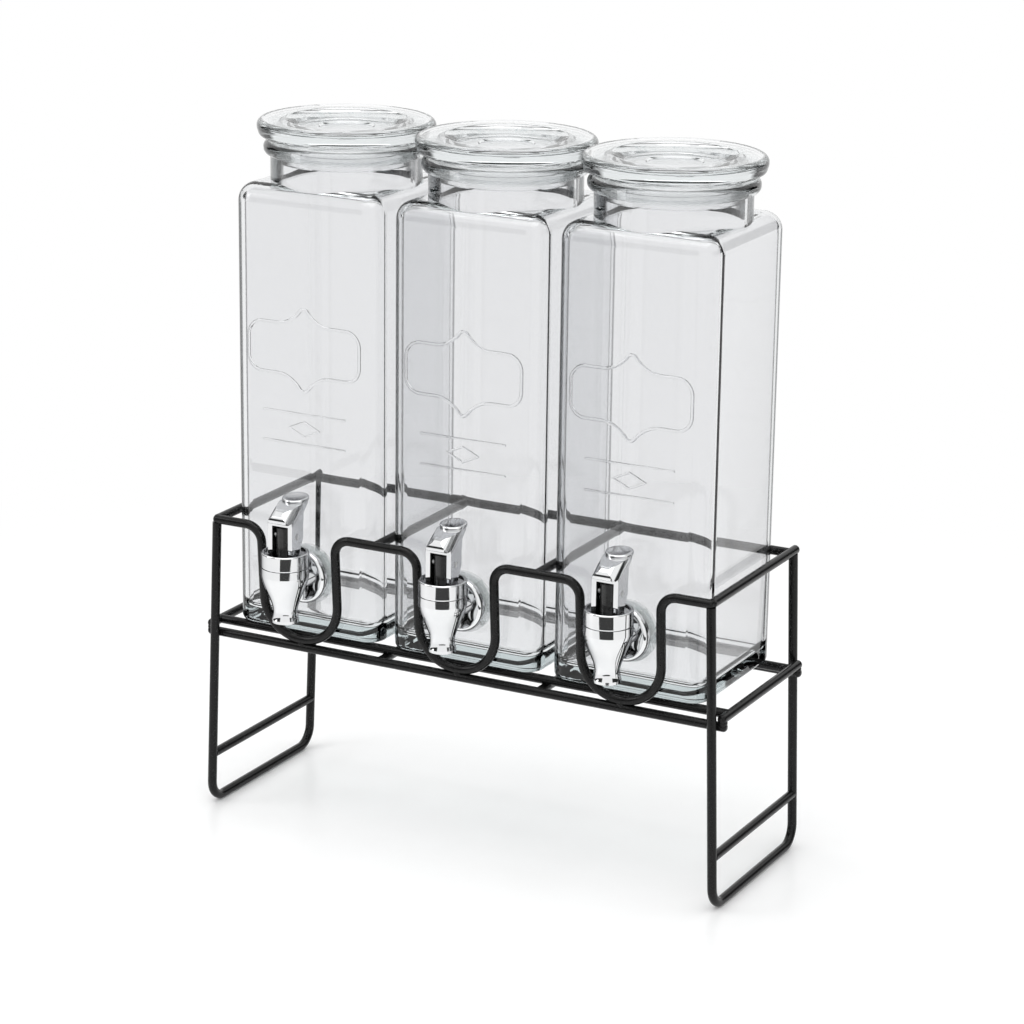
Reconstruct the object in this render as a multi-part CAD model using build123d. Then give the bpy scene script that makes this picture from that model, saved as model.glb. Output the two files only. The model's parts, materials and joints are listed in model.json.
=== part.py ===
from build123d import *
import os
from math import cos, pi, radians, sin, sqrt, tan

# Triple beverage dispenser: three square glass jars with lever taps in a bent wire stand.
# Millimetres. X runs along the row of jars, the taps face -Y, Z is up, the floor is z = 0.

os.makedirs("parts", exist_ok=True)

# Driving sizes of the stand
wire_d = 6.0
weld_sink = 0.8          # how far two crossing wires sink into one another at a weld
butt_sink = 1.6          # how far the square end of a wire sinks into the side of another
side_room = 4.5          # between an outer jar and the leg wires at the top rail
jar_room = 0.8           # between the front of a jar and the dips of the front rail
divider_room = 1.0       # between a jar and the divider wires
leg_lean = 7.2           # each leg stands this much wider at the floor
foot_bend = 13.0         # bend radius of the leg loop at the floor, to the wire axis
foot_flat = 0.25         # flat ground under each floor run so that the stand does not rock
top_rail_z = 200.5
shelf_z = 121.0          # axis height of the front and rear shelf rails
brace_z = 35.5
dip_width = 55.5         # U dip of the front rail, axis to axis
dip_bottom_bend = 27.0
dip_top_bend = 11.0
end_overhang = 3.0       # how far a free wire end stands past the wire it crosses
rail_overhang = 5.0      # top side rail past the rear leg
end_round = 2.2          # rounding of a free wire end

# Driving sizes of the jars
jar_size = 108.0
jar_corner = 13.0
jar_wall = 4.0
jar_base = 9.0
jar_body_h = 293.7
jar_shoulder = 12.0
jar_heel = 4.0
neck_d = 98.0
neck_h = 24.4            # from the shoulder to the top of the lip
lip_d = 106.6
lip_h = 8.6
rest_gap = 0.1           # jar base above the wires it stands on
frame_proud = 0.9        # raised frame on the front of the jar, a half-round bead
frame_rib = 2.2
frame_w = 82.0           # between the middles of the beads
frame_h = 33.0
frame_corner = 10.0
frame_point = 10.5
frame_foot = 20.0        # half the width of the pointed part
frame_z = 190.0          # height of the frame centre above the jar base
rule_w = 60.0            # plain ornament under the frame: a lozenge between two rules
rule_rib = 1.6
rule_z = 138.0
lozenge_w = 22.0
lozenge_h = 10.0

# Driving sizes of the lids
lid_d = 115.0
lid_rim_h = 10.8
plug_gap = 0.6           # seal to neck bore, on radius
seal_t = 3.2             # seal flange between lip and lid
seal_sleeve = 1.2
plug_h = 13.0
plug_wall = 5.0
lid_flat = 18.0          # width of the level top of the rim
lid_round = 4.0          # rounded upper edge of the rim
lid_foot_round = 3.4     # rounded lower edge
lid_taper = 1.5          # the rim is this much smaller at its lower edge, on radius
lid_dish_d = 62.0        # flat floor of the dish in the top of the lid
lid_dish_h = 5.0
lid_dish_round = 2.0
lid_ring_d = 34.0        # shallow round recess in the floor of the dish
lid_ring_h = 1.0
lid_crown = 6.0          # glass thickness of the middle of the lid

# Driving sizes of the taps
tap_reach = 24.5         # cup axis in front of the jar face
shank_z = 40.2           # shank axis above the jar base
shank_d = 15.5
wall_hole_d = 17.0
flange_d = 36.0
flange_t = 4.0
outer_gasket_t = 2.0
outer_gasket_d = 32.0
inner_gasket_t = 3.0
inner_gasket_d = 40.0
nut_t = 8.0
nut_af = 26.0
shank_end = 2.5          # shank past the nut
fit_gap = 0.05           # close fit, on radius
cup_d = 31.0
nozzle_d = 17.6
waist_d = 16.0
outlet_d = 9.0
seat_below = 7.0         # valve seat below the shank axis
cup_above = 12.5         # top of the cup above the shank axis
nozzle_below = 24.5      # nozzle end below the shank axis
chamber_d = 15.0
collar_neck_d = 24.0     # threaded neck under the bonnet
collar_neck_h = 4.0
bonnet_h = 10.2
bonnet_rim_h = 1.2
bonnet_rim_t = 2.0
run_gap = 0.3            # between pieces that move past one another
plunger_d = 11.0
stem_d = 8.0
seal_disc_d = 13.0
seal_disc_t = 3.0
collar_t = 2.0
spring_h = 5.6           # length of the return spring with the tap shut
plunger_top = 7.0        # above the lever pin
pin_above = 11.8         # lever pin above the heel of the lever
pin_d = 4.0
heel_reach = 6.0         # heel corner in front of the pin, sets the lift of the plunger
heel_gap = 0.2
lever_w = 18.0
cheek_back = 8.0         # rear edge of the lever cheeks behind the pin
lip_front = 9.8          # front lip of the hood in front of the pin
lip_z = 10.6             # lip and crown of the hood above the pin
hood_z = 16.9
lip_round = 1.0
hood_round = 8.0         # rounded shoulders of the hood, fading out towards the rear
hood_slope = 35.0
hood_rise = 0.4
pad_d = 17.4             # round thumb pad
pad_t = 2.6
pad_back = 13.3          # middle of the pad behind the pin
pad_z = 22.6             # top of the pad above the pin
pad_tilt = 6.0
pad_round = 0.9
pad_dish = 0.5
slot_gap = 0.4           # plunger to lever cheek, each side

# Sizes worked out from the driving ones
wire_r = wire_d / 2
lap = wire_d - weld_sink
butt = wire_r - butt_sink
jar_pitch = jar_size + wire_d + 2 * divider_room
leg_span_top = 2 * (jar_pitch + jar_size / 2 + wire_r + side_room)
leg_depth = jar_size + 2 * (lap + wire_r + jar_room)
station_x = {"left": -jar_pitch, "middle": 0.0, "right": jar_pitch}
gap_x = {"left": -jar_pitch / 2, "right": jar_pitch / 2}
front_leg_y = -leg_depth / 2
rear_leg_y = leg_depth / 2
front_rail_y = front_leg_y + lap
rear_rail_y = rear_leg_y - lap
side_z = shelf_z + lap
jar_z = side_z + wire_r + rest_gap
jar_front_y = -jar_size / 2
jar_rail_y = jar_size / 2 - jar_heel - 2.0
dip_z = shelf_z + lap


def leg_x(z):
    """Distance of a leg axis from the middle of the stand at height z."""
    return leg_span_top / 2 + leg_lean * (top_rail_z - z) / top_rail_z


def rounded_path(points, radii):
    """Straight runs through the points, with an arc of the given radius at each inner point."""
    vectors = [Vector(*p) for p in points]
    edges = []
    start = vectors[0]
    for i, radius in enumerate(radii, start=1):
        corner = vectors[i]
        back = (vectors[i - 1] - corner).normalized()
        ahead = (vectors[i + 1] - corner).normalized()
        half = radians(back.get_angle(ahead)) / 2
        reach = radius / tan(half)
        middle = (back + ahead).normalized()
        arc_start = corner + back * reach
        arc_end = corner + ahead * reach
        arc_mid = corner + middle * (radius / sin(half) - radius)
        edges.append(Line(start, arc_start))
        edges.append(ThreePointArc(arc_start, arc_mid, arc_end))
        start = arc_end
    edges.append(Line(start, vectors[-1]))
    return Wire(edges)


def bent_wire(points, radii):
    """Round wire bent along the points."""
    path = rounded_path(points, radii)
    profile = Plane(origin=path @ 0, z_dir=path % 0) * Circle(wire_r)
    return sweep(profile, path=path)


def straight_wire(start, end, free_start=False, free_end=False):
    """Straight round wire; a free end is rounded over, a welded end is left square."""
    run = Vector(*end) - Vector(*start)
    rod = Plane(origin=start, z_dir=run) * Cylinder(
        wire_r, run.length, align=(Align.CENTER, Align.CENTER, Align.MIN)
    )
    rims = rod.edges().filter_by(GeomType.CIRCLE)
    if free_start:
        rod = fillet(rims.sort_by_distance(start)[0], end_round)
    if free_end:
        rims = rod.edges().filter_by(GeomType.CIRCLE)
        rod = fillet(rims.sort_by_distance(end)[0], end_round)
    return rod


# Stand: leg loops and braces
stand = {}
for side, sign in (("left", -1), ("right", 1)):
    top_x = sign * leg_x(top_rail_z)
    floor_x = sign * leg_x(wire_r)
    leg_top_z = top_rail_z - wire_r + weld_sink
    leg_top_x = sign * leg_x(leg_top_z)
    loop = bent_wire(
        [
            (leg_top_x, front_leg_y, leg_top_z),
            (floor_x, front_leg_y, wire_r - foot_flat),
            (floor_x, rear_leg_y, wire_r - foot_flat),
            (leg_top_x, rear_leg_y, leg_top_z),
        ],
        [foot_bend, foot_bend],
    )
    ground = Pos(floor_x, 0, -wire_d) * Box(
        4 * wire_d, 2 * leg_depth, wire_d, align=(Align.CENTER, Align.CENTER, Align.MIN)
    )
    stand[f"{side}_leg_loop"] = loop - ground
    brace_x = sign * leg_x(brace_z)
    brace = straight_wire((brace_x, front_leg_y + butt, brace_z), (brace_x, rear_leg_y - butt, brace_z))
    stand[f"{side}_brace"] = brace - loop

# Stand: front rail with a U dip for each tap
rail_points = [(-leg_x(top_rail_z) - end_round, front_leg_y, top_rail_z)]
rail_bends = []
for x in station_x.values():
    for corner_x, corner_y, corner_z, bend in (
        (x - dip_width / 2, front_leg_y, top_rail_z, dip_top_bend),
        (x - dip_width / 2, front_rail_y, dip_z, dip_bottom_bend),
        (x + dip_width / 2, front_rail_y, dip_z, dip_bottom_bend),
        (x + dip_width / 2, front_leg_y, top_rail_z, dip_top_bend),
    ):
        rail_points.append((corner_x, corner_y, corner_z))
        rail_bends.append(bend)
rail_points.append((leg_x(top_rail_z) + end_round, front_leg_y, top_rail_z))
wave = bent_wire(rail_points, rail_bends)
wave = fillet(wave.edges().filter_by(GeomType.CIRCLE).sort_by(Axis.X)[0], end_round)
wave = fillet(wave.edges().filter_by(GeomType.CIRCLE).sort_by(Axis.X)[-1], end_round)

# Stand: shelf rails, with the side rails lying on the ends of the front and rear ones
side_x = leg_x(side_z) + lap
rail_end_x = side_x + end_overhang


def shelf_rail(y):
    """Shelf rail along the row of jars, with both ends free."""
    return straight_wire((-rail_end_x, y, shelf_z), (rail_end_x, y, shelf_z), True, True)


front_shelf = shelf_rail(front_rail_y)
rear_shelf = shelf_rail(rear_rail_y)
for side in ("left", "right"):
    front_shelf = front_shelf - stand[f"{side}_leg_loop"]
    rear_shelf = rear_shelf - stand[f"{side}_leg_loop"]
stand["front_shelf_rail"] = front_shelf
stand["rear_shelf_rail"] = rear_shelf
for side, sign in (("left", -1), ("right", 1)):
    rail = straight_wire(
        (sign * side_x, front_rail_y - end_overhang, side_z),
        (sign * side_x, rear_rail_y + end_overhang, side_z),
        True,
        True,
    )
    stand[f"{side}_shelf_rail"] = rail - stand[f"{side}_leg_loop"] - front_shelf - rear_shelf

# Stand: wires across the shelf between the jars, and the two rails the jars stand on
for side, x in gap_x.items():
    wire = straight_wire((x, front_rail_y + butt, shelf_z), (x, rear_rail_y - butt, shelf_z))
    stand[f"{side}_cross_wire"] = wire - front_shelf - rear_shelf
for name, y in (("front_jar_rail", -jar_rail_y), ("rear_jar_rail", jar_rail_y)):
    rail = straight_wire((-side_x + butt, y, side_z), (side_x - butt, y, side_z))
    for side in ("left", "right"):
        rail = rail - stand[f"{side}_shelf_rail"] - stand[f"{side}_cross_wire"]
    stand[name] = rail

# Stand: top rails and the dividers between the jars
wave = wave - front_shelf
for side in ("left", "right"):
    wave = wave - stand[f"{side}_leg_loop"]
stand["front_wave_rail"] = wave
for side, sign in (("left", -1), ("right", 1)):
    x = sign * leg_x(top_rail_z)
    rail_start = (x, front_leg_y + butt, top_rail_z)
    rail_end = (x, rear_leg_y + rail_overhang, top_rail_z)
    rail = straight_wire(rail_start, rail_end, free_end=True)
    stand[f"{side}_top_rail"] = rail - wave - stand[f"{side}_leg_loop"]
rear_top_x = leg_x(top_rail_z) - butt
rear_top = straight_wire((-rear_top_x, rear_rail_y, top_rail_z), (rear_top_x, rear_rail_y, top_rail_z))
stand["rear_top_rail"] = rear_top - stand["left_top_rail"] - stand["right_top_rail"]
for side, x in gap_x.items():
    divider = straight_wire((x, front_leg_y + butt, top_rail_z), (x, rear_rail_y - butt, top_rail_z))
    stand[f"{side}_divider"] = divider - wave - stand["rear_top_rail"]


# Jar: square glass body with a round neck, drawn at the middle station
def rounded_block(size, corner, z_low, z_high, low_round, high_round):
    """Square block with rounded upright corners and rounded ends."""
    block = extrude(Pos(0, 0, z_low) * RectangleRounded(size, size, corner), z_high - z_low)
    block = fillet(block.faces().sort_by(Axis.Z)[0].edges(), low_round)
    return fillet(block.faces().sort_by(Axis.Z)[-1].edges(), high_round)


shoulder_z = jar_z + jar_body_h
lip_top_z = shoulder_z + neck_h
neck_bore_d = neck_d - 2 * jar_wall
lip_r = lip_d / 2


def turned(points_face):
    """Solid of revolution about the upright axis of a jar."""
    return revolve(points_face, axis=Axis.Z)


def ring_edges(solid, radius):
    """Round edges of one radius, the lowest first."""
    circles = solid.edges().filter_by(GeomType.CIRCLE).sort_by(Axis.Z)
    return [e for e in circles if abs(e.radius - radius) < 0.01]


neck_low_z = shoulder_z - jar_shoulder
neck_outline = Polyline(
    (neck_bore_d / 2, 0, neck_low_z),
    (neck_d / 2, 0, neck_low_z),
    (neck_d / 2, 0, lip_top_z - lip_h),
    (lip_r, 0, lip_top_z - lip_h),
    (lip_r, 0, lip_top_z),
    (neck_bore_d / 2, 0, lip_top_z),
    close=True,
)
neck = turned(make_face(neck_outline))
neck = fillet(ring_edges(neck, lip_r), min(lip_h / 2, lip_r - neck_d / 2) * 0.9)
outside = rounded_block(jar_size, jar_corner, jar_z, shoulder_z, jar_heel, jar_shoulder)
inside = rounded_block(
    jar_size - 2 * jar_wall,
    jar_corner - jar_wall,
    jar_z + jar_base,
    shoulder_z - jar_wall,
    jar_corner - jar_wall - 1.0,
    jar_shoulder - jar_wall,
)
bore = Pos(0, 0, shoulder_z - 2 * jar_shoulder) * Cylinder(
    neck_bore_d / 2, neck_h + 3 * jar_shoulder, align=(Align.CENTER, Align.CENTER, Align.MIN)
)
tap_z = jar_z + shank_z
front_plane = Plane(origin=(0, jar_front_y, 0), x_dir=(1, 0, 0), z_dir=(0, -1, 0))


def frame_path():
    """Label frame with a rounded point at the top and bottom, through the middle of its bead."""
    half_w = frame_w / 2
    half_h = frame_h / 2
    point_side = Spline(
        (-frame_foot, half_h),
        (-0.45 * frame_foot, half_h + 0.32 * frame_point),
        (-0.16 * frame_foot, half_h + 0.82 * frame_point),
        (0, half_h + frame_point),
        tangents=((1, 0), (1, 0)),
    )
    quarter = [
        Line((-half_w, 0), (-half_w, half_h - frame_corner)),
        TangentArc((-half_w, half_h - frame_corner), (-half_w + frame_corner, half_h), tangent=(0, 1)),
        Line((-half_w + frame_corner, half_h), (-frame_foot, half_h)),
        point_side,
    ]
    upper = [e.edge() for e in quarter]
    upper = upper + [mirror(e, Plane.YZ).edge() for e in upper]
    lower = [mirror(e, Plane.XZ).edge() for e in upper]
    return Wire.combine(upper + lower)[0]


def lozenge_path():
    """Diamond between the two rules."""
    half_w = lozenge_w / 2
    half_h = lozenge_h / 2
    return Wire(Polyline((-half_w, 0), (0, half_h), (half_w, 0), (0, -half_h), close=True).edges())


def on_front(shape, z):
    """Move a shape from the drawing plane to the front of the jar, at the depth of a bead's middle."""
    return front_plane * Pos(0, jar_z + z, frame_proud - frame_rib / 2) * shape


def bead(path, width):
    """Half-round bead pressed on the glass along a path."""
    start = Plane(origin=path @ 0, z_dir=path % 0)
    return sweep(start * Circle(width / 2), path=path, transition=Transition.ROUND)


ornament = [bead(on_front(frame_path(), frame_z), frame_rib)]
ornament.append(bead(on_front(lozenge_path(), rule_z), rule_rib))
for shift in (-lozenge_h, lozenge_h):
    rule = Line((-rule_w / 2, 0), (rule_w / 2, 0))
    ornament.append(bead(on_front(Wire([rule.edge()]), rule_z + shift), rule_rib))
    for end_x in (-rule_w / 2, rule_w / 2):
        ornament.append(on_front(Pos(end_x, 0) * Sphere(rule_rib / 2), rule_z + shift))
tap_hole = Plane(origin=(0, jar_front_y, tap_z), z_dir=(0, 1, 0)) * Cylinder(wall_hole_d / 2, 4 * jar_wall)
jar = outside + neck - inside - bore + ornament - tap_hole

# Lid: pressed glass disc with a broad rim round a dish, a hollow plug below, and its soft seal
rim_z = lip_top_z + seal_t
lid_r = lid_d / 2
plug_r = neck_bore_d / 2 - plug_gap - seal_sleeve
lid_top_z = rim_z + lid_rim_h
dish_z = lid_top_z - lid_dish_h
ring_z = dish_z - lid_ring_h
hollow_z = ring_z - lid_crown
lid_outline = Polyline(
    (0, 0, ring_z),
    (lid_ring_d / 2, 0, ring_z),
    (lid_ring_d / 2 + lid_ring_h, 0, dish_z),
    (lid_dish_d / 2, 0, dish_z),
    (lid_r - lid_flat, 0, lid_top_z),
    (lid_r, 0, lid_top_z),
    (lid_r, 0, lid_top_z - lid_rim_h / 2),
    (lid_r - lid_taper, 0, rim_z),
    (plug_r, 0, rim_z),
    (plug_r, 0, rim_z - seal_t - plug_h),
    (plug_r - plug_wall, 0, rim_z - seal_t - plug_h),
    (plug_r - plug_wall - 2.0, 0, hollow_z),
    (0, 0, hollow_z),
    close=True,
)
lid = turned(make_face(lid_outline))
lid = fillet(ring_edges(lid, lid_r)[-1], lid_round)
lid = fillet(ring_edges(lid, lid_r - lid_taper), lid_foot_round)
for ring_r in (lid_r - lid_flat, lid_dish_d / 2):
    lid = fillet(ring_edges(lid, ring_r), lid_dish_round)
lid_seal = turned(
    make_face(
        Polyline(
            (plug_r, 0, rim_z),
            (lip_r - 3.0, 0, rim_z),
            (lip_r - 3.0, 0, lip_top_z),
            (plug_r + seal_sleeve, 0, lip_top_z),
            (plug_r + seal_sleeve, 0, lip_top_z - plug_h + 3.0),
            (plug_r, 0, lip_top_z - plug_h + 3.0),
            close=True,
        )
    )
)

# Tap: fixed pieces
cup_y = jar_front_y - tap_reach
seat_z = tap_z - seat_below
cup_top_z = tap_z + cup_above
nozzle_z = tap_z - nozzle_below
neck_top_z = cup_top_z + collar_neck_h
bonnet_top_z = cup_top_z + bonnet_h
bonnet_floor_z = bonnet_top_z - bonnet_rim_h
chamber_r = chamber_d / 2


def at_cup(shape):
    """Move a shape turned about the Z axis to the axis of the tap cup."""
    return Pos(0, cup_y, 0) * shape


def up_from(z, radius, height):
    """Round bar standing on height z."""
    return Pos(0, 0, z) * Cylinder(radius, height, align=(Align.CENTER, Align.CENTER, Align.MIN))


def along_shank(radius, y_from, y_to):
    """Round bar along the shank axis."""
    return Plane(origin=(0, y_from, tap_z), z_dir=(0, 1, 0)) * Cylinder(
        radius, y_to - y_from, align=(Align.CENTER, Align.CENTER, Align.MIN)
    )


bell_h = cup_top_z - nozzle_z
flare = (cup_d - waist_d) / 2
bell_side = Spline(
    (nozzle_d / 2, 0, nozzle_z + 0.05 * bell_h),
    (waist_d / 2, 0, nozzle_z + 0.23 * bell_h),
    (waist_d / 2 + 0.36 * flare, 0, nozzle_z + 0.46 * bell_h),
    (cup_d / 2 - 0.2 * flare, 0, nozzle_z + 0.68 * bell_h),
    (cup_d / 2, 0, nozzle_z + 0.86 * bell_h),
)
bell_rest = Polyline(
    bell_side @ 1,
    (cup_d / 2, 0, cup_top_z),
    (collar_neck_d / 2, 0, cup_top_z),
    (collar_neck_d / 2, 0, neck_top_z),
    (0, 0, neck_top_z),
    (0, 0, nozzle_z),
    (nozzle_d / 2, 0, nozzle_z),
    bell_side @ 0,
)
bell = at_cup(turned(make_face(Wire([bell_side, *bell_rest.edges()]))))
flange_back_y = jar_front_y - outer_gasket_t
flange = along_shank(flange_d / 2, flange_back_y - flange_t, flange_back_y)
flange_rim = flange.edges().filter_by(GeomType.CIRCLE).sort_by(Axis.Y)[0]
flange = fillet(flange_rim, flange_t - 0.8)
nut_y = jar_front_y + jar_wall + inner_gasket_t
shank_end_y = nut_y + nut_t + shank_end
shank = along_shank(shank_d / 2, cup_y, shank_end_y)
chamber = at_cup(up_from(seat_z, chamber_r, neck_top_z - seat_z))
outlet = at_cup(up_from(nozzle_z, outlet_d / 2, seat_z - nozzle_z))
inlet = along_shank(outlet_d / 2, cup_y, shank_end_y)
tap_body = bell + flange + shank - chamber - outlet - inlet
outer_gasket = along_shank(outer_gasket_d / 2, flange_back_y, jar_front_y)
outer_gasket = outer_gasket - along_shank(shank_d / 2 + fit_gap, flange_back_y, jar_front_y)
inner_gasket = along_shank(inner_gasket_d / 2, nut_y - inner_gasket_t, nut_y)
inner_gasket = inner_gasket - along_shank(shank_d / 2 + fit_gap, nut_y - inner_gasket_t, nut_y)
nut_block = extrude(
    Plane(origin=(0, nut_y, tap_z), x_dir=(1, 0, 0), z_dir=(0, 1, 0))
    * RegularPolygon(nut_af / 2, 6, major_radius=False),
    nut_t,
)
nut = nut_block - along_shank(shank_d / 2 + fit_gap, nut_y, nut_y + nut_t)
bonnet = turned(
    make_face(
        Polyline(
            (plunger_d / 2 + run_gap / 3, 0, neck_top_z + fit_gap),
            (collar_neck_d / 2 + fit_gap, 0, neck_top_z + fit_gap),
            (collar_neck_d / 2 + fit_gap, 0, cup_top_z),
            (cup_d / 2, 0, cup_top_z),
            (cup_d / 2, 0, bonnet_top_z),
            (cup_d / 2 - bonnet_rim_t, 0, bonnet_top_z),
            (cup_d / 2 - bonnet_rim_t, 0, bonnet_floor_z),
            (plunger_d / 2 + run_gap / 3, 0, bonnet_floor_z),
            close=True,
        )
    )
)
bonnet_rims = [e for e in bonnet.edges().filter_by(GeomType.CIRCLE) if abs(e.radius - cup_d / 2) < 0.01]
tap_bonnet = at_cup(fillet(bonnet_rims, bonnet_rim_h * 0.8))

# Tap: pieces that move
pin_z = bonnet_floor_z + heel_gap + pin_above
collar_top_z = neck_top_z + fit_gap - spring_h
collar_low_z = collar_top_z - collar_t
seal_top_z = seat_z + seal_disc_t
plunger = turned(
    make_face(
        Polyline(
            (0, 0, seal_top_z),
            (stem_d / 2, 0, seal_top_z),
            (stem_d / 2, 0, collar_low_z),
            (chamber_r - run_gap, 0, collar_low_z),
            (chamber_r - run_gap, 0, collar_top_z),
            (plunger_d / 2, 0, collar_top_z),
            (plunger_d / 2, 0, pin_z + plunger_top - 1.5),
            (plunger_d / 2 - 1.5, 0, pin_z + plunger_top),
            (0, 0, pin_z + plunger_top),
            close=True,
        )
    )
)
pin_bore = Pos(0, 0, pin_z) * Rot(0, 90, 0) * Cylinder(pin_d / 2 + fit_gap, 2 * plunger_d)
tap_plunger = at_cup(plunger - pin_bore)
valve_seal = at_cup(up_from(seat_z, seal_disc_d / 2, seal_disc_t))
spring_outer = chamber_r - run_gap
spring_inner = plunger_d / 2 + run_gap
spring_ring = Circle(spring_outer) - Circle(spring_inner)
tap_spring = at_cup(extrude(Pos(0, 0, collar_top_z) * spring_ring, neck_top_z + fit_gap - collar_top_z))
lever_pin = at_cup(Pos(0, 0, pin_z) * Rot(0, 90, 0) * Cylinder(pin_d / 2, lever_w - 0.6))

# Lever: side view about the pin, heel below, hood in front, neck up to the thumb pad behind
heel_z = -pin_above
lip_rise = hood_z - lip_z
pad_r = pad_d / 2
neck_z = pad_z - pad_t
crown_y = -0.51 * lip_front
front_curve = Spline(
    (-lip_front, lip_z),
    (-0.9 * lip_front, lip_z + 0.54 * lip_rise),
    (crown_y, hood_z),
    (0.0, hood_z + 0.45 * (neck_z - hood_z)),
    (pad_back - pad_r, neck_z - 0.2 * pad_t),
    (pad_back, neck_z + 0.3 * pad_t),
    (pad_back + 0.85 * pad_r, neck_z + 0.6 * pad_t),
)
back_curve = Spline(
    (pad_back + 0.85 * pad_r, neck_z + 0.1 * pad_t),
    (pad_back + 0.35 * pad_r, neck_z - 0.6 * pad_t),
    (1.35 * cheek_back, 0.82 * hood_z),
    (1.05 * cheek_back, 0.56 * hood_z),
    (0.975 * cheek_back, 0.3 * hood_z),
)
lip_low = (-lip_front + 1.2 * lip_round, lip_z - lip_round)
cheek_top = (-heel_reach + 0.2 * lip_round, lip_z - 0.4 * lip_round)
cheek_low = (cheek_back, -0.17 * pin_above)
heel_back = (0.5 * heel_reach, heel_z)
lever_edges = [
    Line(heel_back, (-heel_reach, heel_z)),
    Line((-heel_reach, heel_z), cheek_top),
    Line(cheek_top, lip_low),
    RadiusArc(lip_low, front_curve @ 0, lip_round),
    front_curve,
    Line(front_curve @ 1, back_curve @ 0),
    back_curve,
    Line(back_curve @ 1, cheek_low),
    Line(cheek_low, heel_back),
]
lever_side = make_face(Wire([e.edge() for e in lever_edges]))
side_plane = Plane(origin=(0, cup_y, pin_z), x_dir=(0, 1, 0), z_dir=(1, 0, 0))
lever_block = extrude(side_plane * lever_side, lever_w / 2, both=True)

# Lever: plan with a rounded lip in front and a round end under the pad
lip_corner = lip_front - heel_reach
neck_r = 0.9 * pad_r
ahead = (Align.CENTER, Align.MIN)
lever_plan = Pos(0, -lip_front) * RectangleRounded(lever_w, 4 * lip_corner, lip_corner, align=ahead)
cheek_plan = Rectangle(lever_w, heel_reach + 1.05 * cheek_back, align=ahead)
lever_plan = lever_plan + Pos(0, -heel_reach) * cheek_plan
lever_plan = lever_plan + Rectangle(2 * neck_r, pad_back, align=ahead) + Pos(0, pad_back) * Circle(neck_r)
lever_reach = 4 * pad_z
lever_block = lever_block & extrude(Pos(0, cup_y, pin_z) * lever_plan, lever_reach, both=True)
slope = radians(hood_slope)
hood_plane = Plane(
    origin=(0, cup_y + crown_y, pin_z + hood_z), x_dir=(1, 0, 0), z_dir=(0, -cos(slope), -sin(slope))
)
arch = Pos(0, hood_rise - lever_reach) * RectangleRounded(lever_w, 2 * lever_reach, hood_round)
lever_block = lever_block & extrude(hood_plane * arch, lever_reach, both=True)

# Lever: dished thumb pad, then the slot for the plunger and the pin hole
pad = Cylinder(pad_r, pad_t, align=(Align.CENTER, Align.CENTER, Align.MAX))
pad = fillet(pad.edges().filter_by(GeomType.CIRCLE), pad_round)
dish_half = pad_r - 2 * pad_round
dish_r = (dish_half**2 + pad_dish**2) / (2 * pad_dish)
pad = pad - Pos(0, 0, dish_r - pad_dish) * Sphere(dish_r)
lever_block = lever_block + Pos(0, cup_y + pad_back, pin_z + pad_z) * Rot(pad_tilt, 0, 0) * pad
slot_w = plunger_d + 2 * slot_gap
slot_r = sqrt(plunger_top**2 + (plunger_d / 2) ** 2) + run_gap
slot = Pos(0, cup_y, pin_z) * Rot(0, 90, 0) * Cylinder(slot_r, slot_w)
below_pin = Box(slot_w, 3 * slot_r, 3 * pin_above, align=(Align.CENTER, Align.CENTER, Align.MAX))
slot = slot + Pos(0, cup_y, pin_z) * below_pin
pin_hole = Pos(0, cup_y, pin_z) * Rot(0, 90, 0) * Cylinder(pin_d / 2, 1.2 * lever_w)
tap_lever = lever_block - slot - pin_hole

# Every station carries the same pieces
station = {
    "jar": jar,
    "lid": lid,
    "lid_seal": lid_seal,
    "tap_body": tap_body,
    "tap_outer_gasket": outer_gasket,
    "tap_inner_gasket": inner_gasket,
    "tap_nut": nut,
    "tap_bonnet": tap_bonnet,
    "tap_plunger": tap_plunger,
    "tap_valve_seal": valve_seal,
    "tap_spring": tap_spring,
    "tap_lever": tap_lever,
    "tap_lever_pin": lever_pin,
}

# The finished frame has its origin on the floor, midway between the tap cups and the rear rail ends
front_reach = cup_y - cup_d / 2
rear_reach = rear_leg_y + rail_overhang
frame_y = -(front_reach + rear_reach) / 2
for name, shape in stand.items():
    export_step(Pos(0, frame_y, 0) * shape, f"parts/{name}.step")
for place, x in station_x.items():
    for name, shape in station.items():
        export_step(Pos(x, frame_y, 0) * shape, f"parts/{place}_{name}.step")
print("frame shift", frame_y, "cup axis y", cup_y + frame_y, "lever pin z", pin_z, "lid top", lid_top_z)
print("jar base", jar_z, "tap axis z", tap_z, "nozzle", nozzle_z, "spring top", neck_top_z + fit_gap)
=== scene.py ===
# %% [markdown]
# The triple beverage dispenser is already built as solids: a wire stand, three glass jars with
# lids, and a chrome lever tap on each jar. This lesson gives those solids their finishes, adds the
# weld metal that joins the wires, winds the springs of the taps and photographs the result. The
# solids are loaded as a fixed frame, so every length below is in metres and in the frame of the
# solids.

# %% Load the frame and measure it
import json
import math

import bmesh
import bpy
from mathutils import Matrix, Vector


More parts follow.
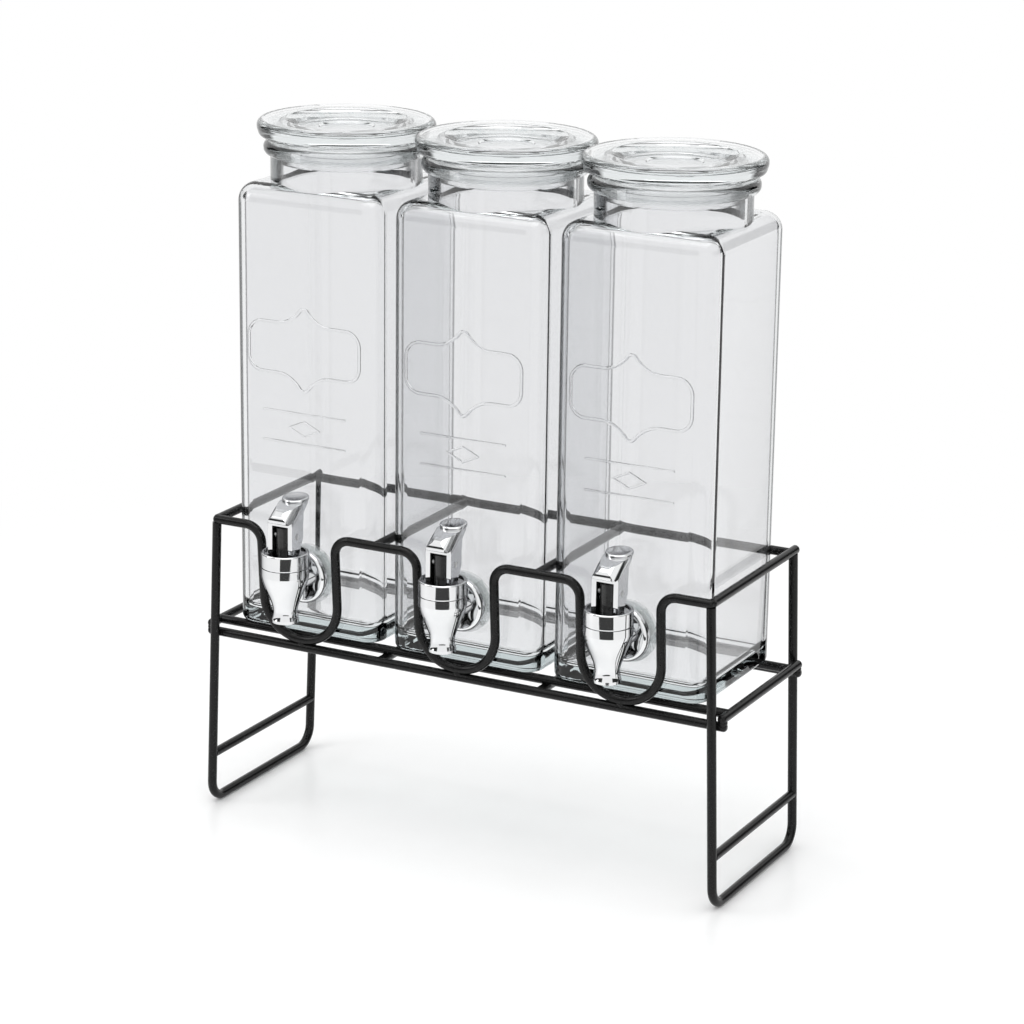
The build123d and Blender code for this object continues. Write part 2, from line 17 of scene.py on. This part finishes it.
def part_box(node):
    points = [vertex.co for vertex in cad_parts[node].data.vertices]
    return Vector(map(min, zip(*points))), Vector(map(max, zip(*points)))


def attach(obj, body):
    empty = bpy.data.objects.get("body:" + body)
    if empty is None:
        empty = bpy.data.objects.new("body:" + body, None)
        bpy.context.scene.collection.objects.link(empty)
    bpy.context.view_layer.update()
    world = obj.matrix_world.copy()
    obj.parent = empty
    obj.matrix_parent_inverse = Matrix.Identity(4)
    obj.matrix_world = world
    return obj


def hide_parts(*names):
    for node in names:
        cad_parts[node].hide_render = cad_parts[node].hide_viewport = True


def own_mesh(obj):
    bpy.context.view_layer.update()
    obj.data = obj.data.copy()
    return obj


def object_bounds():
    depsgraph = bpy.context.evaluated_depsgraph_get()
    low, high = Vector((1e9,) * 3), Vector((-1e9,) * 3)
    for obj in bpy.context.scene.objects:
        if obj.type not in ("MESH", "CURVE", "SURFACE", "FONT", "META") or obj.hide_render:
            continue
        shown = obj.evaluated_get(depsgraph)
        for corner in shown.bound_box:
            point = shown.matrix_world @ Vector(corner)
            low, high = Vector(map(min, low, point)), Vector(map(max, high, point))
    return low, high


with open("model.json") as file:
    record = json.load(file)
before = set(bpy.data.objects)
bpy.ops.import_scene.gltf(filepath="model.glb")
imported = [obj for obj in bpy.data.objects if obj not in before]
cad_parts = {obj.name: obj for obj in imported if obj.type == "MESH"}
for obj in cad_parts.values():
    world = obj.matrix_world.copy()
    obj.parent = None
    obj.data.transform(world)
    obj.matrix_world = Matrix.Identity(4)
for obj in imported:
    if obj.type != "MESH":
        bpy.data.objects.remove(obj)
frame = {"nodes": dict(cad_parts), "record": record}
box_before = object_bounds()
nodes = frame["nodes"]
scene = bpy.context.scene
stations = ("left", "middle", "right")
print("CAD nodes", len(nodes), "box", [round(v, 4) for v in box_before[1] - box_before[0]])

# %% [markdown]
# A finish is a small network of shader nodes. A flat colour looks like a drawing, so each finish
# starts from a noise pattern tied to the object and uses it for a faint bump. Most of its values lie
# in a narrow range, and a colour ramp over that range turns them into a slight change of colour or
# gloss.

# %% Start of a finish
noise_range = (0.3, 0.7)


def grey(value):
    """Neutral colour of one value."""
    return (value, value, value)


def new_finish(name, scale, bump_strength, bump_distance, detail=3.0):
    """Material with a principled shader and a bump. Returns it with its shader, pattern and output."""
    mat = bpy.data.materials.new(name)
    mat.use_nodes = True
    tree = mat.node_tree
    tree.nodes.clear()
    out = tree.nodes.new("ShaderNodeOutputMaterial")
    shader = tree.nodes.new("ShaderNodeBsdfPrincipled")
    coords = tree.nodes.new("ShaderNodeTexCoord")
    noise = tree.nodes.new("ShaderNodeTexNoise")
    noise.inputs["Scale"].default_value = scale
    noise.inputs["Detail"].default_value = detail
    bump = tree.nodes.new("ShaderNodeBump")
    bump.inputs["Strength"].default_value = bump_strength
    bump.inputs["Distance"].default_value = bump_distance
    tree.links.new(coords.outputs["Object"], noise.inputs["Vector"])
    tree.links.new(noise.outputs["Fac"], bump.inputs["Height"])
    tree.links.new(bump.outputs["Normal"], shader.inputs["Normal"])
    tree.links.new(shader.outputs["BSDF"], out.inputs["Surface"])
    return mat, shader, noise.outputs["Fac"], out


def ramp_from(tree, source, stops, target):
    """Send a value through a colour ramp with the given (position, colour) stops into a socket."""
    ramp = tree.nodes.new("ShaderNodeValToRGB")
    elements = ramp.color_ramp.elements
    while len(elements) < len(stops):
        elements.new(0.5)
    for element, (position, colour) in zip(elements, stops):
        element.position = position
        element.color = (*colour, 1.0)
    tree.links.new(source, ramp.inputs["Fac"])
    tree.links.new(ramp.outputs["Color"], target)


def mottle(shader, pattern, colours, socket="Base Color"):
    """Let the noise pattern move a socket of the shader between two colours."""
    ramp_from(shader.id_data, pattern, tuple(zip(noise_range, colours)), shader.inputs[socket])


print("noise is spread over", noise_range)

# %% [markdown]
# Glass and floor need a little arithmetic on what a ray meets, and both mix two shaders by the
# result. Two helpers keep those networks short enough to read.

# %% Arithmetic and mixing in a network


def calc(tree, operation, *terms):
    """Math node fed with numbers or with sockets. Returns its output."""
    node = tree.nodes.new("ShaderNodeMath")
    node.operation = operation
    for socket, term in zip(node.inputs, terms):
        if isinstance(term, bpy.types.NodeSocket):
            tree.links.new(term, socket)
        else:
            socket.default_value = term
    return node.outputs["Value"]


def mix_to_surface(out, share, first, second):
    """Mix two shaders by a share and send the result to the surface of the material."""
    tree = out.id_data
    mix = tree.nodes.new("ShaderNodeMixShader")
    for source, socket in zip((share, first, second), mix.inputs):
        tree.links.new(source, socket)
    tree.links.new(mix.outputs["Shader"], out.inputs["Surface"])


print("network helpers ready")

# %% [markdown]
# The jars and lids are pressed glass. Their tint is painted darker with the facing angle, down to
# near black where an upright wall is seen almost edge-on: a painted dark outline around the glass.
# Tops and shoulders get painted light from above: the level part of the normal takes them out of
# the painted outline. At the upright corners of a square jar the normal has both an X and a Y part,
# and their product adds painted shade there.

# %% Painted dark outline and painted top light of glass
# painted light from above: how far level glass is taken out of the painted dark outline
painted_top_light = 0.43
# middle stop of the painted dark outline, as a share of the tint
painted_half_shade_share = 0.12


def tint_and_paint_edge_shade(shader, through, painted_edge_shade, turns, painted_corner_shade):
    """Paint glass darker from its tint square on to a painted dark outline at glancing view, at the
    facing values where it turns.
    """
    tree = shader.id_data
    facing = tree.nodes.new("ShaderNodeLayerWeight")
    facing.inputs["Blend"].default_value = 0.5
    coords = tree.nodes.new("ShaderNodeTexCoord")
    normal = tree.nodes.new("ShaderNodeSeparateXYZ")
    tree.links.new(coords.outputs["Normal"], normal.inputs["Vector"])
    level = calc(tree, "ABSOLUTE", normal.outputs["Z"])
    # painted light on level faces such as tops and shoulders
    facing_less_top_light = calc(tree, "MULTIPLY_ADD", level, -painted_top_light, facing.outputs["Facing"])
    slant = calc(tree, "ABSOLUTE", calc(tree, "MULTIPLY", normal.outputs["X"], normal.outputs["Y"]))
    # painted shade at the upright corners
    painted_shade_amount = calc(tree, "MULTIPLY_ADD", slant, painted_corner_shade, facing_less_top_light)
    # the ramp runs from the tint through painted half shade to the painted dark outline
    painted_half_shade = tuple(painted_half_shade_share * part for part in through)
    stops = tuple(zip((0.0, *turns, 1.0), (through, through, painted_half_shade, painted_edge_shade, painted_edge_shade)))
    ramp_from(tree, painted_shade_amount, stops, shader.inputs["Base Color"])


print("level glass is lightened by", painted_top_light)

# %% [markdown]
# Pressed glass is clear, with a slightly wavy skin from the mould and a faint grey-green where it is
# thick. The shader bends light with the index of common glass, and an absorbing volume gives the
# depth of colour. Bent light takes many samples to find its way to the floor, so light on that way
# passes straight through instead, and the jars throw a pale shadow without speckles.

# %% Clear pressed glass
glass_index = 1.5
light_kept = (0.945, 0.95, 0.95, 1.0)
thick_tint = (0.77, 0.82, 0.825, 1.0)


def clear_glass(name, through, painted_edge_shade, turns, painted_corner_shade, density):
    """Pressed glass with its tint, its painted dark outline and where it turns, the painted corner
    shade and the depth of colour.
    """
    mat, shader, pattern, out = new_finish(
        name, scale=14.0, bump_strength=0.05, bump_distance=0.002, detail=1.0
    )
    tree = mat.node_tree
    shader.inputs["Transmission Weight"].default_value = 1.0
    shader.inputs["IOR"].default_value = glass_index
    mottle(shader, pattern, (grey(0.0), grey(0.012)), "Roughness")
    tint_and_paint_edge_shade(shader, through, painted_edge_shade, turns, painted_corner_shade)
    passing = tree.nodes.new("ShaderNodeBsdfTransparent")
    passing.inputs["Color"].default_value = light_kept
    path = tree.nodes.new("ShaderNodeLightPath")
    to_floor = calc(tree, "MAXIMUM", path.outputs["Is Shadow Ray"], path.outputs["Is Diffuse Ray"])
    mix_to_surface(out, to_floor, shader.outputs["BSDF"], passing.outputs["BSDF"])
    depth = tree.nodes.new("ShaderNodeVolumeAbsorption")
    depth.inputs["Color"].default_value = thick_tint
    depth.inputs["Density"].default_value = density
    tree.links.new(depth.outputs["Volume"], out.inputs["Volume"])
    return mat


jar_glass = clear_glass(
    "clear_pressed_glass",
    through=(0.897, 0.897, 0.905),
    # near-black painted dark outline
    painted_edge_shade=(0.03, 0.034, 0.036),
    turns=(0.61, 0.68, 0.76),
    # painted shade at the upright corners
    painted_corner_shade=0.4,
    density=18.0,
)
lid_glass = clear_glass(
    "clear_lid_glass",
    through=(0.94, 0.945, 0.95),
    # near-black painted dark outline
    painted_edge_shade=(0.02, 0.024, 0.024),
    turns=(0.40, 0.53, 0.68),
    painted_corner_shade=0.0,
    density=6.0,
)
print("glass finishes", jar_glass.name, lid_glass.name)

# %% [markdown]
# The stand is steel wire with a black powder coat: semi-gloss, with the fine orange-peel skin that
# melted powder leaves. The tap castings are chrome plate, a bright metal with almost no roughness;
# its reflection dips just before the very edge of a curve, and the specular tint sets that dip. One
# function makes both, from two colours, a grain and the constants of the shader by socket name.

# %% Black powder coat and chrome plate


def solid_finish(name, colours, grain, constants):
    """Finish that wanders between two colours. The grain holds the arguments of its noise and bump."""
    mat, shader, pattern, _ = new_finish(name, **grain)
    mottle(shader, pattern, colours)
    for socket, value in constants.items():
        shader.inputs[socket].default_value = value
    return mat


coat = solid_finish(
    "black_powder_coat",
    (grey(0.004), grey(0.009)),
    {"scale": 900.0, "bump_strength": 0.12, "bump_distance": 0.0004},
    {"Roughness": 0.21, "Specular IOR Level": 0.24},
)
chrome = solid_finish(
    "chrome_plate",
    ((0.80, 0.81, 0.82), (0.86, 0.865, 0.87)),
    {"scale": 60.0, "bump_strength": 0.03, "bump_distance": 0.0006, "detail": 2.0},
    {"Metallic": 1.0, "Specular Tint": (0.12, 0.12, 0.13, 1.0), "Roughness": 0.045},
)
print("finishes", coat.name, chrome.name)

# %% [markdown]
# The small tap pieces are a black plastic plunger, clear silicone gaskets and lid seals, a white
# nylon nut, a rubber valve disc and plain steel for the pin and spring. Silicone is clear with a
# slight haze. It is squeezed flat against the glass, where nothing bends the light, so it is a thin
# veil that lets most of the light straight through.

# %% Plastic, silicone, nylon, rubber and steel
plastic = solid_finish(
    "black_plastic",
    (grey(0.012), grey(0.022)),
    {"scale": 400.0, "bump_strength": 0.08, "bump_distance": 0.0004},
    {"Roughness": 0.22},
)
silicone = solid_finish(
    "clear_silicone",
    ((0.80, 0.82, 0.82), (0.88, 0.89, 0.89)),
    {"scale": 250.0, "bump_strength": 0.05, "bump_distance": 0.0004},
    {"Roughness": 0.25, "Alpha": 0.22},
)
nylon = solid_finish(
    "white_nylon",
    ((0.74, 0.75, 0.74), (0.82, 0.83, 0.82)),
    {"scale": 300.0, "bump_strength": 0.1, "bump_distance": 0.0004},
    {"Roughness": 0.45},
)
rubber = solid_finish(
    "black_rubber",
    (grey(0.014), grey(0.026)),
    {"scale": 500.0, "bump_strength": 0.15, "bump_distance": 0.0004},
    {"Roughness": 0.7},
)
steel = solid_finish(
    "plain_steel",
    (grey(0.48), grey(0.58)),
    {"scale": 700.0, "bump_strength": 0.1, "bump_distance": 0.0003},
    {"Metallic": 1.0, "Roughness": 0.28},
)
print("finishes", [mat.name for mat in (plastic, silicone, nylon, rubber, steel)])

# %% [markdown]
# Each solid takes its finish from the material slot that the record gives it, so one table of
# slots dresses the whole object. The lids are the one exception: they share the slot of the jars,
# but their glass is thicker and clearer, so they get the lid glass.

# %% Dress the solids
finish_of_slot = {
    "clear_glass": jar_glass,
    "black_coat": coat,
    "chrome_plate": chrome,
    "black_plastic": plastic,
    "clear_silicone": silicone,
    "white_nylon": nylon,
    "black_rubber": rubber,
    "steel": steel,
}
slot_of_node = {part["node"]: part["material_slot"] for part in frame["record"]["subparts"]}
for name, obj in nodes.items():
    is_lid = name.endswith("_lid")
    obj.data.materials.clear()
    obj.data.materials.append(lid_glass if is_lid else finish_of_slot[slot_of_node[name]])
print("dressed", len(nodes), "solids with", len(finish_of_slot) + 1, "finishes")

# %% [markdown]
# Where two wires of the stand meet, a spot weld joins them. The places of the welds come from the
# boxes of the wires, so they stay on the joints if the stand changes. A straight wire is welded at
# its ends, a shelf crossing where two rails pass, and a dip of the front rail at its lowest point.

# %% Find the welds
along_x, along_y = 0, 1


def middle(name):
    """Middle of the box of a solid."""
    low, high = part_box(name)
    return (Vector(low) + Vector(high)) / 2


def wire_ends(name, axis):
    """The two ends of a straight wire that runs along an axis."""
    ends = []
    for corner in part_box(name):
        point = middle(name)
        point[axis] = corner[axis]
        ends.append(point)
    return ends


weld_places = []
for side in ("left", "right"):
    for wire in ("divider", "cross_wire", "brace"):
        weld_places += wire_ends(f"{side}_{wire}", along_y)
    weld_places.append(wire_ends(f"{side}_top_rail", along_y)[0])
    for shelf in ("front", "rear"):
        side_rail, shelf_rail = middle(f"{side}_shelf_rail"), middle(f"{shelf}_shelf_rail")
        weld_places.append(Vector((side_rail.x, shelf_rail.y, (side_rail.z + shelf_rail.z) / 2)))
for rail in ("front_jar_rail", "rear_jar_rail", "rear_top_rail"):
    weld_places += wire_ends(rail, along_x)
dip_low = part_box("front_wave_rail")[0][2]
for station in stations:
    weld_places.append(Vector((middle(f"{station}_jar").x, middle("front_shelf_rail").y, dip_low)))
print("welds", len(weld_places))

# %% [markdown]
# A spot weld leaves a small bead of metal, and the coat rounds it off. The beads could be one sphere
# each, but real ones are flattened and uneven, so each is a subdivided ball, squashed and pushed
# about a little by its own number, and filed flush where it would stand out past the box of the object.

# %% Weld beads
bead_r = 0.0031
bead_height = 0.92
bead_unevenness = 0.10
ripple_x, ripple_y = 5.0, 4.0
shift_x, shift_y = 1.7, 2.3


def mesh_object(name, shape):
    """Object in the scene with the mesh of a finished shape."""
    mesh = bpy.data.meshes.new(name)
    shape.to_mesh(mesh)
    shape.free()
    obj = bpy.data.objects.new(name, mesh)
    scene.collection.objects.link(obj)
    return obj


beads = bmesh.new()
for number, spot in enumerate(weld_places):
    ball = bmesh.ops.create_icosphere(beads, subdivisions=3, radius=bead_r)
    for vert in ball["verts"]:
        way = vert.co.normalized()
        wave_x = math.sin(ripple_x * way.x + shift_x * number)
        wave_y = math.cos(ripple_y * way.y + shift_y * number)
        reach = bead_r * (1.0 + bead_unevenness * wave_x * wave_y)
        point = spot + Vector((way.x, way.y, way.z * bead_height)) * reach
        vert.co = [min(max(v, low), high) for v, low, high in zip(point, *box_before)]
for face in beads.faces:
    face.smooth = True
weld_beads = mesh_object("weld_beads", beads)
weld_beads.data.materials.append(coat)
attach(weld_beads, "stand")
print("weld beads of", bead_r, "m radius")

# %% [markdown]
# Inside each tap a short spring holds the valve shut. Its solid is a plain sleeve, and here it becomes
# the wound wire that a workshop would fit. A curve with a bevel could do it; a ring of points carried
# along a helix gives a closed mesh straight away.

# %% Wind a spring
spring_wire_r = 0.0004
spring_turns = 2
steps_per_turn = 40
ring_points = 10


def wound_spring(name, low, high):
    """Spring of round wire that fills a box: rings of points along a helix, closed at both ends."""
    coil_r = (high.x - low.x) / 2 - spring_wire_r
    start = Vector(((low.x + high.x) / 2, (low.y + high.y) / 2, low.z + spring_wire_r))
    rise = Vector((0, 0, high.z - low.z - 2 * spring_wire_r))
    steps = spring_turns * steps_per_turn
    shape = bmesh.new()
    rings = []
    for step in range(steps + 1):
        angle = 2 * math.pi * step / steps_per_turn
        outward = Vector((math.cos(angle), math.sin(angle), 0.0))
        spot = start + rise * (step / steps) + outward * coil_r
        ring = []
        for point in range(ring_points):
            around = 2 * math.pi * point / ring_points
            offset = outward * math.cos(around) + Vector((0, 0, math.sin(around)))
            ring.append(shape.verts.new(spot + offset * spring_wire_r))
        rings.append(ring)
    for first, second in zip(rings, rings[1:]):
        for point in range(ring_points):
            after = (point + 1) % ring_points
            shape.faces.new((first[point], first[after], second[after], second[point])).smooth = True
    shape.faces.new(rings[0])
    shape.faces.new(rings[-1])
    bmesh.ops.recalc_face_normals(shape, faces=shape.faces)
    return mesh_object(name, shape)


print("springs have", spring_turns, "turns of wire", 2 * spring_wire_r, "m thick")

# %% [markdown]
# When a tap opens, its plunger rises and the spring gets shorter. Each spring stays on its jar.

# %% Fit the springs
for place in stations:
    low, high = (Vector(corner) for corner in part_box(f"{place}_tap_spring"))
    spring = wound_spring(f"{place}_wound_spring", low, high)
    spring.data.materials.append(steel)
    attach(spring, f"{place}_jar_unit")
    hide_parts(f"{place}_tap_spring")
    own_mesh(spring)

# %% [markdown]
# The floor is a plain pale sheet. Near the object it is a matt surface that takes the soft shadow
# and a weak mirror image; further off it fades to the white of the studio. The fade is only for
# what the camera, metal and glass see, so the white adds no light to the object.

# %% Floor
floor_size = 24.0
fade_start, fade_end = 0.08, 0.85


def seen_ray(tree):
    """Value of 1 for rays of the camera, of mirrors and of glass, and 0 for the rest."""
    path = tree.nodes.new("ShaderNodeLightPath")
    direct = calc(tree, "MAXIMUM", path.outputs["Is Camera Ray"], path.outputs["Is Glossy Ray"])
    return calc(tree, "MAXIMUM", direct, path.outputs["Is Transmission Ray"])


bpy.ops.mesh.primitive_plane_add(size=floor_size, location=(0, 0, 0))
floor = bpy.context.object
floor.name = "studio_floor"
floor_mat, shader, pattern, out = new_finish(
    "studio_floor", scale=30.0, bump_strength=0.02, bump_distance=0.0005
)
mottle(shader, pattern, (grey(0.95), grey(0.965)))
shader.inputs["Roughness"].default_value = 0.3
shader.inputs["Specular IOR Level"].default_value = 0.3
tree = floor_mat.node_tree
white = tree.nodes.new("ShaderNodeEmission")
white.inputs["Color"].default_value = (1.0, 1.0, 1.0, 1.0)
white.inputs["Strength"].default_value = 1.0
geometry = tree.nodes.new("ShaderNodeNewGeometry")
away = tree.nodes.new("ShaderNodeVectorMath")
away.operation = "LENGTH"
fade = tree.nodes.new("ShaderNodeMapRange")
fade.interpolation_type = "SMOOTHSTEP"
fade.inputs["From Min"].default_value = fade_start
fade.inputs["From Max"].default_value = fade_end
tree.links.new(geometry.outputs["Position"], away.inputs[0])
tree.links.new(away.outputs["Value"], fade.inputs["Value"])
whitened = calc(tree, "MULTIPLY", fade.outputs["Result"], seen_ray(tree))
mix_to_surface(out, whitened, shader.outputs["BSDF"], white.outputs["Emission"])
floor.data.materials.append(floor_mat)
print("floor fades to white from", fade_start, "to", fade_end, "m")

# %% [markdown]
# The camera stands to the right of the front and a little above the lids, with a long lens, at the
# angle of the photograph. A camera looks along its own minus Z, so its three axes are worked out from
# the two angles and the slight roll, and become the columns of its matrix.

# %% Camera
azimuth = math.radians(27.66)
elevation = math.radians(16.67)
roll = math.radians(0.77)
distance = 2.1195
aim = Vector((0.00724, 0.013, 0.21685))
film_width = 36.0
picture_width_px, focal_length_px = 1024.0, 3289.84

ahead = Vector((math.sin(azimuth), -math.cos(azimuth), 0.0))
right_dir = Vector((math.cos(azimuth), math.sin(azimuth), 0.0))
back_dir = ahead * math.cos(elevation) + Vector((0, 0, math.sin(elevation)))
up_dir = back_dir.cross(right_dir)
cam_x = right_dir * math.cos(roll) + up_dir * math.sin(roll)
cam_y = up_dir * math.cos(roll) - right_dir * math.sin(roll)
cam_data = bpy.data.cameras.new("photo_camera")
cam_data.sensor_width = film_width
cam_data.lens = film_width * focal_length_px / picture_width_px
camera = bpy.data.objects.new("photo_camera", cam_data)
scene.collection.objects.link(camera)
turn = Matrix((cam_x, cam_y, back_dir)).transposed().to_4x4()
camera.matrix_world = Matrix.Translation(aim + back_dir * distance) @ turn
scene.camera = camera
print("camera at", [round(v, 3) for v in camera.location], "lens", round(cam_data.lens, 1), "mm")

# %% [markdown]
# The studio is a white tent. Its two sides are dark up to about the height of the lids, as a
# photographer hangs black cloth beside glass and chrome: curved glass bends the view sideways, picks
# up the cloth and gets its dark lines. Cloth could be hung as real sheets, but in the world it is
# endlessly far away, so no jar is nearer to it than another. The camera itself sees only white.

# %% World
cloth_start, cloth_full = 0.63, 0.70
cloth_grey = 0.03
cloth_top_start, cloth_top_end = 0.36, 0.46

world = bpy.data.worlds.new("studio")
scene.world = world
world.use_nodes = True
tree = world.node_tree
tree.nodes.clear()
out = tree.nodes.new("ShaderNodeOutputWorld")
tent = tree.nodes.new("ShaderNodeBackground")
tent.inputs["Strength"].default_value = 1.0
coords = tree.nodes.new("ShaderNodeTexCoord")
across = tree.nodes.new("ShaderNodeVectorMath")
across.operation = "DOT_PRODUCT"
across.inputs[1].default_value = right_dir
height = tree.nodes.new("ShaderNodeSeparateXYZ")
above = tree.nodes.new("ShaderNodeMapRange")
above.inputs["From Min"].default_value = cloth_top_start
above.inputs["From Max"].default_value = cloth_top_end
path = tree.nodes.new("ShaderNodeLightPath")
pick = tree.nodes.new("ShaderNodeMix")
pick.data_type = "RGBA"
pick.inputs["B"].default_value = (1.0, 1.0, 1.0, 1.0)
tree.links.new(coords.outputs["Generated"], across.inputs[0])
tree.links.new(coords.outputs["Generated"], height.inputs["Vector"])
tree.links.new(height.outputs["Z"], above.inputs["Value"])
sideways = calc(tree, "ABSOLUTE", across.outputs["Value"])
white_part = ((0.0, grey(1.0)), (cloth_start, grey(1.0)))
cloth_part = ((cloth_full, grey(cloth_grey)), (1.0, grey(cloth_grey)))
ramp_from(tree, sideways, white_part + cloth_part, pick.inputs["A"])
no_cloth = calc(tree, "MAXIMUM", above.outputs["Result"], path.outputs["Is Camera Ray"])
tree.links.new(no_cloth, pick.inputs["Factor"])
tree.links.new(pick.outputs["Result"], tent.inputs["Color"])
tree.links.new(tent.outputs["Background"], out.inputs["Surface"])
print("tent with cloth from", cloth_start, "of the way to each side")

# %% [markdown]
# The tent lights the object from all sides. Two soft lamps, one above and one at the left, give that
# light a direction. They are large and weak, because a small strong lamp would throw hard shadows.

# %% Lamps


def soft_lamp(name, location, towards, width, height, watts):
    """Rectangular soft lamp turned towards a point."""
    lamp = bpy.data.lights.new(name, "AREA")
    lamp.shape = "RECTANGLE"
    lamp.size = width
    lamp.size_y = height
    lamp.energy = watts
    obj = bpy.data.objects.new(name, lamp)
    scene.collection.objects.link(obj)
    obj.location = location
    obj.rotation_euler = (Vector(towards) - Vector(location)).to_track_quat("-Z", "Y").to_euler()
    return obj


top_lamp = soft_lamp("top_lamp", (0.0, -0.2, 1.6), (0, 0, 0.2), width=1.4, height=1.0, watts=8.0)
left_lamp = soft_lamp("left_lamp", (-1.3, -0.9, 0.9), (0, 0, 0.25), width=0.5, height=1.2, watts=5.0)
print("lamps of", top_lamp.data.energy, "and", left_lamp.data.energy, "W")

# %% [markdown]
# Chrome shows only what stands around it, and in an all-white tent it turns to paper. A photographer
# lays a black card on the floor in front of the set, outside the picture, and the tap then carries
# the small black windows that make it read as metal. The card is seen by mirrors alone.

# %% Black card for the chrome
card_near, card_far, card_wide = 0.46, 0.70, 0.62
card_lift = 0.001

card_shape = bmesh.new()
bmesh.ops.create_grid(card_shape, x_segments=2, y_segments=2, size=0.5)
card = mesh_object("black_card", card_shape)
tap_spot = middle("middle_tap_bonnet")
card_at = Vector((tap_spot.x, tap_spot.y, card_lift)) + ahead * (card_near + card_far) / 2
card.matrix_world = (
    Matrix.Translation(card_at)
    @ Matrix.Rotation(azimuth, 4, "Z")
    @ Matrix.Diagonal((card_wide, card_far - card_near, 1.0, 1.0))
)
card_mat = solid_finish(
    "black_card",
    (grey(0.006), grey(0.012)),
    {"scale": 40.0, "bump_strength": 0.02, "bump_distance": 0.0005},
    {"Roughness": 0.9},
)
card.data.materials.append(card_mat)
for kind in ("camera", "diffuse", "transmission", "volume_scatter", "shadow"):
    setattr(card, "visible_" + kind, False)
print("card", card_wide, "by", round(card_far - card_near, 3))

# %% [markdown]
# Clear jars stand in front of one another, so a sight line crosses many glass faces before it
# leaves the row. The light path limit is raised to let it through.

# %% Picture settings
most_faces = 32
scene.view_settings.view_transform = "Standard"
scene.cycles.max_bounces = most_faces
scene.cycles.transmission_bounces = most_faces
scene.cycles.transparent_max_bounces = most_faces
